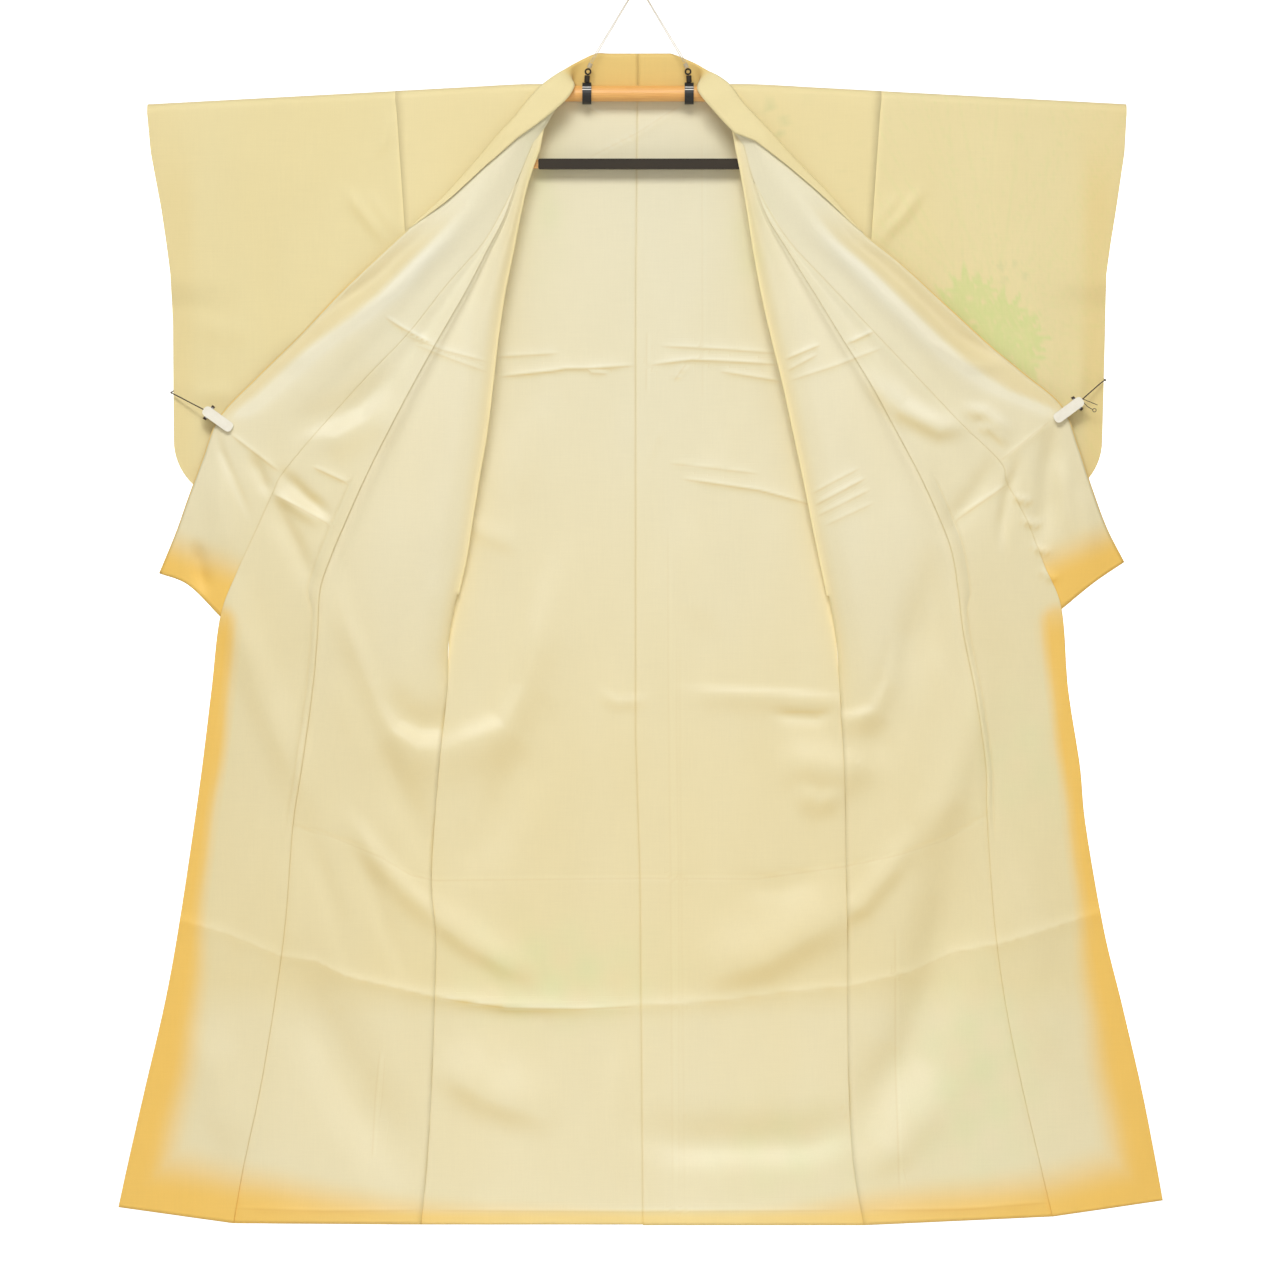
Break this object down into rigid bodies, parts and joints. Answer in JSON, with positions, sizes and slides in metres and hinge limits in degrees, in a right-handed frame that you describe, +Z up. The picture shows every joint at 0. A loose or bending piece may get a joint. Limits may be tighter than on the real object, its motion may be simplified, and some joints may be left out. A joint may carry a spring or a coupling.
{
  "type": "kimono on hanger",
  "caption": "Lined kimono hung on its wooden kimono hanger, fronts clipped open to show the pale lining with gold-shaded edges.",
  "frame": {"origin": "where a hook bears inside the top of the hanging ring", "axes": "+Z up; -Y towards the side that shows the garment's lining; +X towards the wearer's left sleeve"},
  "size_m": [1.4008, 0.049, 1.6865],
  "materials": {
    "outer_silk": "satin",
    "lining_silk": "satin",
    "hem_lining_silk": "satin",
    "wood": "varnished",
    "black_plastic": "matt",
    "cream_plastic": "gloss",
    "dark_elastic": "matt",
    "clear_nylon": "gloss",
    "steel": "polished"
  },
  "bodies": {
    "root": {"right_front": "outer_silk", "right_front_skirt": "outer_silk", "right_front_under": "outer_silk", "right_okumi": "outer_silk", "right_collar": "outer_silk", "right_back": "outer_silk", "right_sleeve_front": "outer_silk", "right_sleeve_back": "outer_silk", "right_front_upper_lining": "lining_silk", "right_okumi_upper_lining": "lining_silk", "right_collar_lining": "lining_silk", "right_back_upper_lining": "lining_silk", "right_front_lower_lining": "hem_lining_silk", "right_okumi_lower_lining": "hem_lining_silk", "right_collar_tip_lining": "hem_lining_silk", "right_back_lower_lining": "hem_lining_silk", "left_front": "outer_silk", "left_front_skirt": "outer_silk", "left_front_under": "outer_silk", "left_okumi": "outer_silk", "left_collar": "outer_silk", "left_back": "outer_silk", "left_sleeve_front": "outer_silk", "left_sleeve_back": "outer_silk", "left_front_upper_lining": "lining_silk", "left_okumi_upper_lining": "lining_silk", "left_collar_lining": "lining_silk", "left_back_upper_lining": "lining_silk", "left_front_lower_lining": "hem_lining_silk", "left_okumi_lower_lining": "hem_lining_silk", "left_collar_tip_lining": "hem_lining_silk", "left_back_lower_lining": "hem_lining_silk", "hanger_rod": "wood", "sash_bar": "black_plastic", "hanging_ring": "steel", "hanger_arm_right": "wood", "sash_bar_arm_right": "wood", "strap_right": "black_plastic", "swivel_stem_right": "black_plastic", "swivel_eye_right": "black_plastic", "line_crimp_right": "clear_nylon", "hanging_line_right_1": "clear_nylon", "hanging_line_right_2": "clear_nylon", "clip_right_front_jaw": "cream_plastic", "clip_right_back_jaw": "cream_plastic", "clip_right_pin": "steel", "elastic_right": "dark_elastic", "hanger_arm_left": "wood", "sash_bar_arm_left": "wood", "strap_left": "black_plastic", "swivel_stem_left": "black_plastic", "swivel_eye_left": "black_plastic", "line_crimp_left": "clear_nylon", "hanging_line_left_1": "clear_nylon", "hanging_line_left_2": "clear_nylon", "clip_left_front_jaw": "cream_plastic", "clip_left_back_jaw": "cream_plastic", "clip_left_pin": "steel", "elastic_left": "dark_elastic"}
  },
  "joints": []
}
